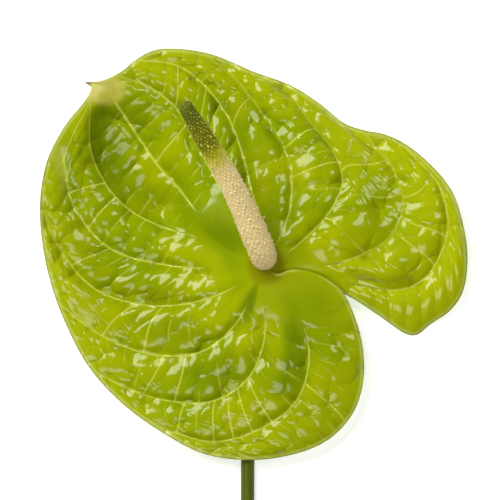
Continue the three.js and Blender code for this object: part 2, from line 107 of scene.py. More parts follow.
MAIN_VEINS = [
    [NODE, (10, -3, 11.8), (30, -6, 8.6), (47, -8.3, 5.8), (56, -4, 5.8), (63.5, 12, 7.8),
     (60.6, 27.6, 8), (54.4, 35.6, 7.2), (45, 44.8, 6.2)],
    [NODE, (9, -0.5, 13), (28, 2, 11.4), (43.5, 10.3, 8.6), (48, 22, 7.6), (43.6, 36, 6.8),
     (39.3, 41.2, 6.4), (34, 47.7, 6)],
    [NODE, (5, 2.7, 14.2), (21.5, 18, 13), (26.6, 29, 11.5), (24.5, 38, 10), (15, 51, 8.2),
     (9, 59, 7.2), (-4, 68, 6.5)],
    [NODE, (3.5, 7, 14.2), (8.3, 20, 12.5), (8.7, 34, 10.5), (5, 44, 9.5), (-7.7, 62, 8),
     (-14, 68.5, 7.5), (-23, 75, 7.2)],
    [NODE, (1, 8, 14), (-4, 23, 12), (-9.8, 44, 9.5), (-14.5, 54, 9), (-23.5, 65, 8.5),
     (-32, 70.5, 8.8), (-46, 72.3, 10.5)],
    [NODE, (-8, 14, 12.8), (-18, 31, 9.5), (-26.5, 47, 8), (-31, 54.7, 8), (-40.5, 62.3, 9),
     (-52, 66.5, 12)],
    [NODE, (-11, 6.5, 12.3), (-21.5, 15.5, 9.5), (-30.5, 27, 6.5), (-38, 35.3, 4.2),
     (-46, 47, 5), (-51.5, 55.3, 9), (-56.5, 61.8, 13), (-63, 63.9, 15)],
    [NODE, (-9, 2.8, 12.8), (-23.5, 9.8, 8.5), (-37, 14, 5), (-49.5, 21, 5.6), (-58.5, 33, 8.2),
     (-61.3, 42, 10.2), (-61.5, 49, 12.3), (-61.1, 55, 13.8), (-61.8, 59.7, 14.7)],
    [NODE, (-9, -0.5, 12.8), (-32.5, 0, 6.8), (-54.5, 6, 5.6), (-66.5, 19.5, 8.6),
     (-70.2, 31.5, 11.6), (-71.6, 37.5, 13), (-73.9, 42, 14.5)],
    [NODE, (-4, -2.7, 13.8), (-13, -8.4, 11.8), (-26.5, -13, 9), (-43, -13.7, 5.8),
     (-59.5, -8.4, 5), (-70, 2.5, 7.5), (-76.3, 14.5, 10.8), (-78.7, 25, 13)],
    [NODE, (-2.8, -5, 13.7), (-10.5, -20, 11.5), (-22, -29.7, 9), (-39, -31.2, 6.5),
     (-57, -24.7, 5.5), (-73, -12.7, 7)],
    [NODE, (-0.7, -6.5, 13.8), (-0.7, -26.3, 11.5), (-6.7, -39.8, 10), (-18.5, -47.2, 8.5),
     (-35.5, -47, 7), (-50.4, -42, 6), (-62, -35.5, 6.5)],
    [NODE, (2.3, -6, 14), (8.5, -12.7, 13), (15, -29.5, 11), (11, -46.5, 9.5), (-1.5, -56.7, 8.6),
     (-18, -61.4, 7.8), (-32, -58.3, 7.2), (-41, -55.2, 7)]]
# The plainest cross veins: the strip, then where each leaves its two main veins.
CROSS_VEINS = [
    (1, (47.6, 23.1), (62, 26.3)), (1, (50, 13), (62.9, 12.4)), (1, (51, 5), (60, 3)),
    (2, (41, 37), (25.5, 33)), (2, (47.6, 25.6), (27, 20.7)), (2, (34, 6), (21.4, 16)),
    (3, (17.9, 48), (6, 41)), (3, (25, 36), (8.5, 31)),
    (4, (-5, 59), (-12, 49)),
    (5, (-21, 62), (-24.5, 45)), (5, (-30.8, 70), (-31.5, 55.5)),
    (6, (-28, 49.5), (-38.5, 36)),
    (8, (-57, 28.7), (-67.6, 25.6)), (8, (-53, 24), (-62, 13.5)), (8, (-61.2, 57.5), (-71, 35.5)),
    (9, (-54.9, 5.6), (-65.8, 1.4)),
    (10, (-36.1, -13.7), (-42.7, -29.4)), (10, (-45.2, -14.4), (-57.4, -24.2)),
    (11, (-28, -31.5), (-31.9, -45.9)), (11, (-36.1, -31.5), (-41.7, -42)),
    (12, (-4.9, -40.3), (1.4, -54)), (12, (-9.1, -44), (-4.5, -58)),
    (12, (-13, -45.9), (-11.2, -60.6)), (12, (-17.9, -47.3), (-18.2, -60.6)),
    (12, (-28.7, -49.7), (-31.2, -56.4)),
    (13, (14.6, -40.8), (27, -54))]
# Bands of the blade, each with its vein number and half its width, the shares of the way
# out where it begins and ends, and its strength. "calm" bands have shallower facets, or
# deeper ones where the strength is below 0, and the veins of "faint" bands hardly show.
BANDS = {
    # painted shade: darker green on walls turned from the lamps, below the node and beside the
    # spadix's base
    "painted_shade": [(7.6, 0.4, 0.42, 0.98, 0.6), (8.8, 0.25, 0.7, 1, 0.5), (12.7, 0.3, 0.15, 0.5, 0.8),
             (11.1, 0.45, 0.03, 0.26, 0.9), (7, 0.9, 0.06, 0.34, 0.6),
             (13.3, 0.9, 0.05, 0.4, 0.25), (10.5, 0.5, 0.28, 0.6, 0.5),
             (11.5, 0.5, 0.28, 0.58, 0.5), (9.5, 0.5, 0.25, 0.7, 0.35)],
    # painted highlight: a pale glossy band between the left margin and its vein
    "painted_highlight": [(9.05, 0.22, 0.8, 1.1, 0.9)],
    # painted light: paler green on the right lobe and along the lower left margin
    "light": [(1, 2.4, 0.15, 1.2, 0.55), (10.5, 1, 0.7, 1.2, 0.3)],
    "faint": [(2, 0.2, 0.35, 1.1, 0.6), (3, 0.2, 0.5, 1.1, 0.5), (4, 0.2, 0.35, 1.1, 0.6),
              (2.5, 0.45, 0.2, 0.6, 0.8)],
    "calm": [(0.35, 0.8, 0.2, 1.2, 0.7), (13.3, 0.35, 0.2, 0.6, 0.7),
             (13.85, 0.3, 0.2, 0.7, -0.5), (6.3, 0.8, 0.72, 1.2, 0.7),
             (7.4, 0.4, 0.5, 0.97, -1)],
    "midrib": [(7, 0.2, 0.3, 1.1, 1)]}
CURVE_STEPS = 24               # straight steps between two points of a smooth line


def smooth_line(points, steps=CURVE_STEPS):
    """A line through all points: a cubic on each stretch whose slopes weigh the two
    neighbouring stretches by the square root of their lengths."""
    p = np.asarray(points, float)
    p = np.vstack([2 * p[0] - p[1], p, 2 * p[-1] - p[-2]])
    p0, p1, p2, p3 = p[:-3], p[1:-2], p[2:-1], p[3:]

    def reach(a, b):
        """The square root of the distance between two points."""
        return np.sqrt(np.linalg.norm(b - a, axis=1))[:, None]

    a, b, c = reach(p0, p1), reach(p1, p2), reach(p2, p3)
    leave = ((p1 - p0) / a - (p2 - p0) / (a + b) + (p2 - p1) / b) * b
    arrive = ((p2 - p1) / b - (p3 - p1) / (b + c) + (p3 - p2) / c) * b
    s = np.linspace(0, 1, steps, endpoint=False)[:, None, None]
    line = ((2 * s**3 - 3 * s**2 + 1) * p1 + (s**3 - 2 * s**2 + s) * leave
            + (3 * s**2 - 2 * s**3) * p2 + (s**3 - s**2) * arrive)
    return np.vstack([line.transpose(1, 0, 2).reshape(-1, p.shape[1]), p[-2]])


def running_length(line):
    """Distance along a line from its start to each of its points."""
    return np.r_[0, np.cumsum(np.linalg.norm(np.diff(line, axis=0), axis=1))]


def points_at(line, distance):
    """Points of a line at the given distances from its start."""
    length = running_length(line)
    return np.stack([np.interp(distance, length, axis) for axis in line.T], -1)


def smoothstep(low, high, x):
    """0 at low, 1 at high, and an even S between; low may be the greater."""
    t = np.clip((x - low) / (high - low), 0, 1)
    return t * t * (3 - 2 * t)


rim = smooth_line(RIGHT_LOBE_EDGE + OUTER_MARGIN + LOWER_LOBE_EDGE)
rim_length = running_length(rim)
right_end = CURVE_STEPS * (len(RIGHT_LOBE_EDGE) - 1)
lower_end = CURVE_STEPS * (len(RIGHT_LOBE_EDGE) + len(OUTER_MARGIN))
routes = [rim[:right_end + 1], *map(smooth_line, MAIN_VEINS), rim[lower_end:][::-1]]
STRIPS = len(routes) - 1

share = np.linspace(0, 1, BLADE_ROWS + 1)
share = np.insert(share, -1, 1 - 0.3 / BLADE_ROWS)   # one more row just inside the margin
rows = np.array([points_at(line, share * running_length(line)[-1]) for line in routes])
meeting = np.array([
    rim_length[right_end],
    *[rim_length[np.argmin(np.linalg.norm(rim[:, :2] - line[-1, :2], axis=1))]
      for line in routes[1:-1]],
    rim_length[lower_end]])

# Columns as (strip, share of the strip's width); strips meet in shared columns.
half_way = np.array(STRIP_STEPS)
steps = np.r_[half_way, 0.5, 1 - half_way[:0:-1]]    # from 0 up to just under 1
column = np.r_[(np.arange(STRIPS)[:, None] + steps).ravel(), STRIPS]
column_strip = np.minimum(column.astype(int), STRIPS - 1)
column_share = column - column_strip


def across_routes(k):
    """Points of the smooth blade at vein numbers k: a cubic through the four nearest
    routes at each row, then drawn to the rim in proportion to the row's share^4."""
    strip = np.clip(np.floor(k).astype(int), 0, STRIPS - 1)
    u = (k - strip)[:, None, None]
    r = np.concatenate([[2 * rows[0] - rows[1]], rows, [2 * rows[-1] - rows[-2]]])
    a, b, c, d = r[strip], r[strip + 1], r[strip + 2], r[strip + 3]
    woven = b + u / 2 * (c - a + u * (2 * a - 5 * b + 4 * c - d + u * (3 * (b - c) + d - a)))
    miss = points_at(rim, np.interp(k, np.arange(STRIPS + 1), meeting)) - woven[:, -1]
    return woven + (share**4)[None, :, None] * miss[:, None, :]


blade = across_routes(column)

# Width and run of every strip at every row.
middle = (rows[1:] + rows[:-1]) / 2
along = np.gradient(middle, share, axis=1)
across = rows[1:] - rows[:-1]
lean = (across * along).sum(-1) / (along**2).sum(-1)
strip_width = np.linalg.norm(across - lean[..., None] * along, axis=-1)
strip_run = np.linalg.norm(along, axis=-1)


def nearest_share(route, point):
    """The share of a route at which it passes a point."""
    return share[np.argmin(np.linalg.norm(rows[route, :, :2] - point, axis=1))]


# Rungs are numbered outwards from the node, closer together towards the margin, and
# numbered so that each plain cross vein is one of them.
rung_ends, rung_numbers = [], []
for strip in range(STRIPS):
    ends = sorted((nearest_share(strip, start), nearest_share(strip + 1, end))
                  for number, start, end in CROSS_VEINS if number == strip)
    whole = max(3, round(strip_run[strip].mean() / RUNG_PITCH))
    numbers = [0]
    for start, end in ends:
        number = round(whole * ((start + end) / 2) ** RUNG_CROWDING)
        numbers.append(max(number, numbers[-1] + 1))
    numbers.append(max(whole, numbers[-1] + 1))
    rung_ends.append(np.array([(0, 0), *ends, (1, 1)]))
    rung_numbers.append(np.array(numbers, float))


def rung_count(strip, u):
    """How many rungs lie between the node and each row at a share u of the strip's
    width: straight from one plain cross vein to the next."""
    meets = rung_ends[strip] @ (1 - u, u)
    return np.interp(share, meets, rung_numbers[strip])


def rung_spacing(strip, u):
    """The distance from rung to rung as a share of the usual one, at least 0.2 and at
    most 1, or less in the hollow."""
    pitch = strip_run[strip] / np.maximum(np.gradient(rung_count(strip, u), share), 1)
    return np.clip(pitch / RUNG_PITCH, 0.2, HOLLOW_ROLL if strip == HOLLOW_STRIP else 1)


def to_cross_vein(strip, u):
    """Millimetres from each row to the nearest plain cross vein. The sign changes at
    every one, so that the values run straight through 0 there."""
    meets = (rung_ends[strip] @ (1 - u, u))[1:-1]
    if len(meets) == 0:
        return np.full(len(share), 99.0)
    gap = share[:, None] - meets
    nearest = np.abs(gap).argmin(1)
    return gap[np.arange(len(share)), nearest] * (-1) ** nearest * strip_run[strip]


def quilting(strip, u):
    """Height of the relief above the smooth blade: a swelling between two veins, as
    1 - x squared to the power 1.5, and a smaller one between two rungs, as 1 - x squared
    and lower where rungs lie close; less the main vein's groove, plus its fine ridge. The
    hollow sinks as u squared times 1 - u, by its whole depth at two thirds of the width."""
    width = strip_width[strip]
    to_vein = np.minimum(u, 1 - u) * width
    valley = np.exp(-(to_vein / VALLEY_REACH) ** 2)
    ridge = np.exp(-(to_vein / VEIN_RIDGE_REACH) ** 2)
    count = rung_count(strip, u)
    from_rung = np.abs(count - np.round(count))
    roll = 4 * from_rung * (1 - from_rung)
    full = np.minimum(1, width / PANEL_FULL_WIDTH)
    swell = 4 * u * (1 - u)
    crown = PANEL_CROWN[strip] * swell**1.5 * full
    if strip == HOLLOW_STRIP:
        crown = -HOLLOW_DEPTH * 6.75 * u**2 * (1 - u) * full
    start = np.interp(strip + u, np.arange(STRIPS + 1), RELIEF_START)
    away = share * strip_run[strip]
    grown = smoothstep(start, start + RELIEF_GROWS, away) * np.minimum(1, (1 - share) * 12)
    at = rows[strip, :, :2] * (1 - u) + rows[strip + 1, :, :2] * u
    grown = grown * smoothstep(0.5, 1, np.linalg.norm(at - TIP[:2], axis=1) / TIP_SMOOTH)
    roll = roll * smoothstep(0.97, 0.8, share) * rung_spacing(strip, u)
    return grown * (crown + RUNG_SWELL * roll * np.sqrt(swell)
                    - VALLEY_DEPTH * valley + VEIN_RIDGE * ridge)


blade[..., 2] += np.array(list(map(quilting, column_strip, column_share)))

# The lower face hangs below the upper by the thickness, up to twice that where the blade
# is steep and less at its rounded margin; it is pressed flat where it meets the table.
normal = np.cross(np.gradient(blade, axis=1), np.gradient(blade, axis=0))
normal[:, 0] = (0, 0, 1)
upright = np.maximum(np.abs(normal[..., 2]) / np.linalg.norm(normal, axis=-1), 0.5)
to_margin = (1 - share)[None, :] * strip_run[column_strip]
to_side = np.minimum(column, STRIPS - column)[:, None] * strip_width[column_strip]
rounding = EDGE_SHARE + (1 - EDGE_SHARE) * np.sqrt(
    np.clip(np.minimum(to_margin, to_side) / EDGE_ROUNDING, 0, 1))
thickness = BLADE_THICKNESS / upright
press = REST_SPOT_PRESS * np.exp(
    -(np.hypot(blade[..., 0] - REST_SPOT[0], blade[..., 1] - REST_SPOT[1])
      / REST_SPOT_REACH) ** 4)
middle_z = blade[..., 2] - thickness / 2
under = blade.copy()
under[..., 2] = np.maximum(middle_z - thickness * rounding / 2 - press * PRESS_SHARE, TABLE_GAP)
blade[..., 2] = np.maximum(middle_z + thickness * rounding / 2, under[..., 2] + LEAST_THICKNESS)

# The solids hold the flower where the frame has it, so the blade goes there too.
spathe_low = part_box("spathe")[0]
PLACE = np.array([spathe_low.x / MM - rim[:, 0].min(), spathe_low.y / MM - rim[:, 1].min(), 0])


def grid_faces(numbers):
    """Four-cornered faces over a two-way table of vertex numbers, facing the way the
    first way crosses the second."""
    return np.stack([numbers[:-1, :-1], numbers[:-1, 1:], numbers[1:, 1:], numbers[1:, :-1]],
                    -1).reshape(-1, 4)


def make_piece(name, points, faces, maps=(), measures=()):
    """A smooth-shaded object from points in millimetres and a table of four vertex
    numbers a face. A corner that repeats its neighbour is dropped, which makes the
    triangles at a pole. maps hold two values at every corner, measures one a vertex."""
    kept = faces != np.roll(faces, 1, axis=1)
    corners = faces[kept]
    sizes = kept.sum(1)
    mesh = bpy.data.meshes.new(name)
    mesh.vertices.add(len(points))
    mesh.vertices.foreach_set("co", ((points + PLACE) * MM).ravel())
    mesh.loops.add(len(corners))
    mesh.loops.foreach_set("vertex_index", corners)
    mesh.polygons.add(len(faces))
    mesh.polygons.foreach_set("loop_start", np.cumsum(sizes) - sizes)
    mesh.polygons.foreach_set("use_smooth", np.ones(len(faces), bool))
    for title, values in dict(maps).items():
        mesh.uv_layers.new(name=title).data.foreach_set("uv", values[kept].ravel())
    for title, values in dict(measures).items():
        mesh.attributes.new(title, "FLOAT", "POINT").data.foreach_set("value", values.ravel())
    mesh.update(calc_edges=True)
    mesh.validate()
    piece = bpy.data.objects.new(name, mesh)
    bpy.context.scene.collection.objects.link(piece)
    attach(piece, "root")
    return piece


class Wire:
    """A value in a material. Sums and products of wires add Math nodes, the methods below
    add the nodes that are used often, and node() adds any other."""

    def __init__(self, tree, socket=None):
        self.tree, self.socket = tree, socket

    def node(self, kind, settings=(), inputs=(), output=0):
        """A node of a type: its settings first, then the values or links it takes."""
        new = self.tree.nodes.new("ShaderNode" + kind)
        for key, value in dict(settings).items():
            setattr(new, key, value)
        for key, value in dict(inputs).items():
            if isinstance(value, Wire):
                self.tree.links.new(value.socket, new.inputs[key])
            else:
                new.inputs[key].default_value = value
        return Wire(self.tree, new.outputs[output])

    def other(self, output):
        """Another output of the same node."""
        return Wire(self.tree, self.socket.node.outputs[output])

    def math(self, operation, *values):
        """One Math node on numbers or wires."""
        return self.node("Math", {"operation": operation}, dict(enumerate(values)))

    def __add__(self, other):
        return self.math("ADD", self, other)

    def __sub__(self, other):
        return self.math("SUBTRACT", self, other)

    def __mul__(self, other):
        return self.math("MULTIPLY", self, other)

    def __rsub__(self, other):
        return self.math("SUBTRACT", other, self)

    __radd__, __rmul__ = __add__, __mul__

    def measure(self, name):
        """A value that the mesh holds at each vertex."""
        return self.node("Attribute", {"attribute_name": name}, output=2)

    def noise(self, place, scale, detail, output=0):
        """Soft random values from 0 to 1, about scale of them to a metre."""
        return self.node("TexNoise", inputs={"Vector": place, "Scale": scale, "Detail": detail},
                         output=output)

    def step(self, low, high):
        """0 at low, 1 at high, smooth between; low may be the greater."""
        return self.node("MapRange", {"interpolation_type": "SMOOTHSTEP"},
                         {0: self, 1: low, 2: high, 3: 0.0, 4: 1.0})

    def mix(self, below, above):
        """The colour below where this wire is 0, the colour above where it is 1."""
        return self.node("Mix", {"data_type": "RGBA"}, {0: self, 6: below, 7: above}, 2)


def colour(red, green, blue):
    """A colour as seen, 0 to 255, turned into the light that it reflects."""
    seen = np.array([red, green, blue]) / 255
    light = np.where(seen > 0.04045, ((seen + 0.055) / 1.055) ** 2.4, seen / 12.92)
    return (*light.tolist(), 1)


def new_finish(name, **fixed):
    """A material's nodes: a wire to build on and its shader, with fixed values set."""
    material = bpy.data.materials.new(name)
    material.use_nodes = True
    shader = material.node_tree.nodes["Principled BSDF"]
    for key, value in fixed.items():
        shader.inputs[key.replace("_", " ")].default_value = value
    return material, Wire(material.node_tree), shader


def finish(piece, material, wire, shader, **varied):
    """Link what changes over the surface and put the material on its piece."""
    for key, value in varied.items():
        wire.tree.links.new(value.socket, shader.inputs[key.replace("_", " ")])
    piece.data.materials.append(material)


def millimetres_from(w, place, point, stretch=(1000, 1000, 1000)):
    """Distance from a point of the flower, each way weighed by the stretch."""
    at = tuple(((np.array(point) + PLACE) * MM).tolist())
    away = w.node("VectorMath", {"operation": "SUBTRACT"}, {0: place, 1: at})
    away = w.node("VectorMath", {"operation": "MULTIPLY"}, {0: away, 1: stretch})
    return w.node("VectorMath", {"operation": "LENGTH"}, {0: away}, 1)


columns_n, rows_n = blade.shape[:2]
upper_no = np.arange(columns_n * rows_n).reshape(columns_n, rows_n)
upper_no[:, 0] = 0
lower_no = upper_no + columns_n * rows_n
edge = np.concatenate([upper_no[0, :], upper_no[1:, -1], upper_no[-1, -2::-1]])
wall = np.stack([edge, edge + columns_n * rows_n])


def corner_map(first, second):
    """Two functions of strip and share of its width, at the four corners of each face."""
    sides = [np.stack([np.array([f(s, x) for s in range(STRIPS) for x in u])
                       for f in (first, second)], -1) for u in (steps, np.r_[steps, 1][1:])]
    return np.stack([sides[0][:, :-1], sides[0][:, 1:], sides[1][:, 1:], sides[1][:, :-1]],
                    2).reshape(-1, 4, 2)


# Corners hold millimetres from the nearest main vein and rungs from the node, and in a
# second map millimetres from the nearest plain cross vein and across the strips, because
# these differ on the two sides of a vein.
rungs = corner_map(lambda s, u: min(u, 1 - u) * strip_width[s], rung_count)
STRIP_APART = 40               # so that no two strips have the same facets
cross = corner_map(to_cross_vein, lambda s, u: u * strip_width[s] + STRIP_APART * s)
FAR_FROM_VEINS = (9.0, 0.5)    # what the thin wall round the margin holds instead
side_wall = np.tile(FAR_FROM_VEINS, (len(edge) - 1, 4, 1))
# Seen from above, each column's way to the rim on its own side of the tip.
tip_at = CURVE_STEPS * (len(RIGHT_LOBE_EDGE) + HOOK)
past_tip = 8 * CURVE_STEPS
rim_sides = rim[:tip_at + past_tip, :2], rim[tip_at - past_tip:, :2]
from_margin = np.array([
    np.linalg.norm(line[:, None, :2] - rim_sides[int(k > HOLLOW_STRIP)], axis=-1).min(1)
    for k, line in zip(column, blade)])
away = share[None, :] * strip_run[column_strip]
starts = np.interp(column, np.arange(STRIPS + 1), RELIEF_START)[:, None]
vein_shows = smoothstep(starts - 2, starts + 8, away)
# The left vein that runs on to the tip gives up its short way to the margin.
vein_shows *= 1 - (smoothstep(0.84, 0.9, share)[None, :]
                   * smoothstep(0.5, 0.3, np.abs(column - LEFT_VEIN))[:, None])


def banded(bands):
    """The bands' strengths at each column and row, soft on all four sides."""
    return sum(strength * smoothstep(half, 0.3 * half, np.abs(column - at))[:, None]
               * smoothstep(start, start + 0.1, share) * smoothstep(end, end - 0.1, share)
               for at, half, start, end, strength in bands)


measures = {name: banded(bands) for name, bands in BANDS.items()}
measures |= {
    "from_margin": from_margin, "vein_shows": vein_shows,
    "outward": np.tile(share, (columns_n, 1)),
    "spacing": np.array(list(map(rung_spacing, column_strip, column_share)))}
spathe = make_piece(
    "spathe_blade", np.vstack([blade.reshape(-1, 3), under.reshape(-1, 3)]),
    np.vstack([grid_faces(upper_no), grid_faces(lower_no)[:, ::-1], grid_faces(wall)]),
    {"rungs": np.vstack([rungs, rungs[:, ::-1], side_wall]),
     "cross": np.vstack([cross, cross[:, ::-1], side_wall])},
    {name: np.tile(values, (2, 1, 1)) for name, values in measures.items()})
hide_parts("spathe")

# Waxy skin over yellow-green flesh. Main veins and cross veins show as pale lines, and rungs here
# and there;
# the margin is yellower and the tip creamy. Painted shade, painted light and painted highlights
# lie over it.
SKIN = colour(168, 181, 0)
SKIN_DEEP = colour(134, 160, 0)
PAINTED_SHADE_GREEN = colour(108, 134, 0)
NODE_BROWN_AND_SHADE = colour(126, 112, 0)
SKIN_YELLOW = colour(176, 190, 6)
PAINTED_HIGHLIGHT_GREEN = colour(190, 202, 70)
PAINTED_LIGHT_GREEN = colour(192, 203, 6)
VEIN_PALE = colour(210, 216, 84)
PAINTED_RIM_HIGHLIGHT = colour(202, 210, 92)
TIP_CREAM = colour(234, 225, 136)
TIP_LIME = colour(212, 210, 84)
HOOK_BROWN = colour(150, 138, 104)
WOVEN_FACET = 7.0              # width of the facets that follow the rungs
LOOSE_FACET = 5.8              # and of those along the margin
FACET_FALL = 0.2               # share of its width that a facet falls by, a width out
FACET_WANDER = (3.0, 3.0, 0.0)
material, w, shader = new_finish("spathe", IOR=1.42)
place = w.node("TexCoord", output=3)
rung_map = w.node("SeparateXYZ", inputs={0: w.node("UVMap", {"uv_map": "rungs"})})
cross_map = w.node("SeparateXYZ", inputs={0: w.node("UVMap", {"uv_map": "cross"})})
vein_mm, rung_no = rung_map, rung_map.other(1)
cross_mm = w.math("ABSOLUTE", cross_map)
margin_mm = w.measure("from_margin")
node_mm = millimetres_from(w, place, NODE)
broad, patchy = w.noise(place, 38.0, 2.0), w.noise(place, 110.0, 2.0)
fine = w.noise(place, 700.0, 3.0)
vein_shows = w.measure("vein_shows")
plain = 1 - w.measure("faint")
main_line = ((vein_mm - w.measure("midrib") * 0.15).step(0.42, 0.08)
             * (vein_shows + (patchy - 0.5) * 0.6).step(0.2, 0.8) * plain)
cross_line = cross_mm.step(0.42, 0.1) * node_mm.step(14, 24) * plain
rung_line = ((w.math("PINGPONG", rung_no, 0.5) * RUNG_PITCH).step(0.4, 0.08)
             * patchy.step(0.47, 0.62) * node_mm.step(22, 40))
skin = broad.step(0.3, 0.65).mix(SKIN_DEEP, SKIN)
# Painted shade: darker green in the grooves beside the main veins.
skin = (vein_mm.step(4.0, 0.4) * patchy.step(0.25, 0.6) * 0.6).mix(skin, SKIN_DEEP)
skin = (margin_mm.step(16.0, 1.0) * 0.7).mix(skin, SKIN_YELLOW)
# Painted shade: darker green where the bands of painted shade lie.
skin = (w.measure("painted_shade") * (patchy.step(0.1, 0.6) * 0.4 + 0.6)).mix(skin, PAINTED_SHADE_GREEN)
# Painted light: paler green on the right lobe and along the lower left margin.
skin = (w.measure("light") * (patchy.step(0.1, 0.6) * 0.6 + 0.4)).mix(skin, PAINTED_LIGHT_GREEN)
# Painted highlight: a pale glossy band between the left margin and its vein.
skin = (w.measure("painted_highlight") * (patchy.step(0.2, 0.6) * 0.6 + 0.4)).mix(skin, PAINTED_HIGHLIGHT_GREEN)
# Brown round the spadix's base: the node's own tint, darkened by painted shade under the spadix.
skin = (node_mm.step(8.2, 5.0) * 0.55).mix(skin, NODE_BROWN_AND_SHADE)
skin = (fine.step(0.3, 0.8) * 0.1).mix(skin, SKIN_YELLOW)
skin = (rung_line * 0.5).mix(skin, VEIN_PALE)
skin = (cross_line * 0.85).mix(skin, VEIN_PALE)
skin = (main_line * 0.85).mix(skin, VEIN_PALE)
# A painted highlight runs along the margin as a pale line, with painted shade at its very rim,
# and a painted highlight lies as a pale line along the fold beside the node.
outer = node_mm.step(20, 36)
skin = (margin_mm.step(1.7, 0.9) * outer * 0.85).mix(skin, PAINTED_RIM_HIGHLIGHT)
skin = (margin_mm.step(1.2, 0.6) * node_mm.step(3, 5) * node_mm.step(13, 9) * 0.8).mix(
    skin, VEIN_PALE)
skin = (margin_mm.step(0.6, 0.3) * outer * 0.6).mix(skin, PAINTED_SHADE_GREEN)

tip_mm = millimetres_from(w, place, TIP)
cream_mm = millimetres_from(w, place, CREAM_MIDDLE, (750, 1100, 0)) + patchy * 5
creamy = cream_mm.step(9.5, 6)
skin = (creamy * 0.9).mix(skin, patchy.step(0.35, 0.6).mix(TIP_LIME, TIP_CREAM))
skin = millimetres_from(w, place, OUTER_MARGIN[HOOK]).step(3, 1.2).mix(skin, HOOK_BROWN)

# Between the veins the skin is beaten into small facets, each a shallow dome.
# They follow the rungs inwards and lie as they come along the margin.
warp = w.noise(place, 150.0, 1.0, output=1)
woven = w.node("CombineXYZ", inputs={0: cross_map.other(1) * 0.75, 1: rung_no * RUNG_PITCH})
loose = w.node("VectorMath", {"operation": "SCALE"}, {0: place, "Scale": 1000.0})
facets = []
for weave, facet_mm in (woven, WOVEN_FACET), (loose, LOOSE_FACET):
    weave = w.node("VectorMath", {"operation": "MULTIPLY_ADD"},
                   {0: warp, 1: FACET_WANDER, 2: weave})
    facet = w.node("TexVoronoi", {"voronoi_dimensions": "2D"},
                   {"Vector": weave, "Scale": 1 / facet_mm}) * facet_mm
    facets.append(facet * facet * (-FACET_FALL / facet_mm))
outward = w.measure("outward").step(0.6, 0.78)
domes = ((1 - outward) * facets[0] + outward * facets[1]) * vein_shows * tip_mm.step(9, 16)
domes = domes * (patchy.step(0.25, 0.65) * 0.7 + 0.5) * (vein_mm.step(5, 1) * 0.6 + 1)
domes = domes * w.measure("spacing") * (1 - w.measure("calm"))
raised = w.node("Bump", inputs={"Strength": 1.0, "Distance": 0.001, "Height": domes})
finish(spathe, material, w, shader, Base_Color=skin, Normal=raised, Roughness=creamy * 0.3 + 0.13)

# ------------------------------------------------------------------ spadix
# The spadix is a tapering fleshy spike packed with tiny flowers, each a raised
# diamond in a spiral net. They are cream low down and open from green at the tip.
SPADIX_SPINE = [(-0.8, 3, 14.95), (-0.9, 3.5, 17.6), (-1.8, 6.2, 20.9), (-3.4, 9.9, 23.5),
                (-12.3, 28.9, 34.7), (-21.9, 44.9, 45), (-28.2, 55.4, 52.8)]
# Its radius under the florets at shares of its length.
SPADIX_RADII = [(0, 4.5), (0.2, 4.6), (0.32, 4.2), (0.45, 3.95), (0.6, 3.55), (0.72, 3.25),
                (0.83, 2.95), (0.91, 2.55), (1, 2)]
SPADIX_TIP_RADIUS = 2.5
FLORETS_AROUND = 16
FLORET_RINGS = 60
FLORET_HEIGHT = 0.42
FLORET_TWIST = 0.012           # radians that each ring turns on the one below
FLORET_HALF_WIDTH = 0.75
FLORET_DETAIL = 6              # grid steps for one ring or half a floret's width
FLORET_SEED = 4


def carry_frame(spine):
    """Directions ahead, to the right and on top at each point of a spine. The right
    starts as +X and is carried along: each takes the last one's, less what lies ahead."""
    ahead = np.gradient(spine, axis=0)
    ahead /= np.linalg.norm(ahead, axis=1)[:, None]
    right = np.empty_like(ahead)
    last = np.array([1.0, 0, 0])
    for i, way in enumerate(ahead):
        last = last - way * (last @ way)
        last = right[i] = last / np.linalg.norm(last)
    return ahead, right, np.cross(right, ahead)


def tube(spine, radius, angle):
    """Points of a tube: around each spine point, right*cos + top*sin of the angle, at
    the radius. radius is a table of ring by side, and angle one too or a single ring."""
    _, right, top = carry_frame(spine)
    return (spine[:, None] + right[:, None] * (np.cos(angle) * radius)[..., None]
            + top[:, None] * (np.sin(angle) * radius)[..., None])


def closed_tube(ring_points, start, end):
    """Vertices and faces of a tube closed by a point at either end."""
    rings, sides = ring_points.shape[:2]
    points = np.vstack([start, ring_points.reshape(-1, 3), end])
    numbers = 1 + np.arange(rings * sides).reshape(rings, sides)
    numbers = np.vstack([np.zeros(sides, int), numbers, np.full(sides, len(points) - 1)])
    return points, grid_faces(np.hstack([numbers, numbers[:, :1]]))


line = smooth_line(SPADIX_SPINE)
total = running_length(line)[-1]
ring_at = np.linspace(0, FLORET_RINGS, FLORET_RINGS * FLORET_DETAIL + 1)
side_at = np.linspace(0, 2 * FLORETS_AROUND, 2 * FLORETS_AROUND * FLORET_DETAIL,
                      endpoint=False)
grow = ring_at / FLORET_RINGS
spine = points_at(line, grow * total)
into_tip = np.maximum(0, (grow * total - (total - SPADIX_TIP_RADIUS)) / SPADIX_TIP_RADIUS)
closing = np.sqrt(np.maximum(1 - into_tip**2, 0.05))
ring_at, side_at = np.meshgrid(ring_at, side_at, indexing="ij")
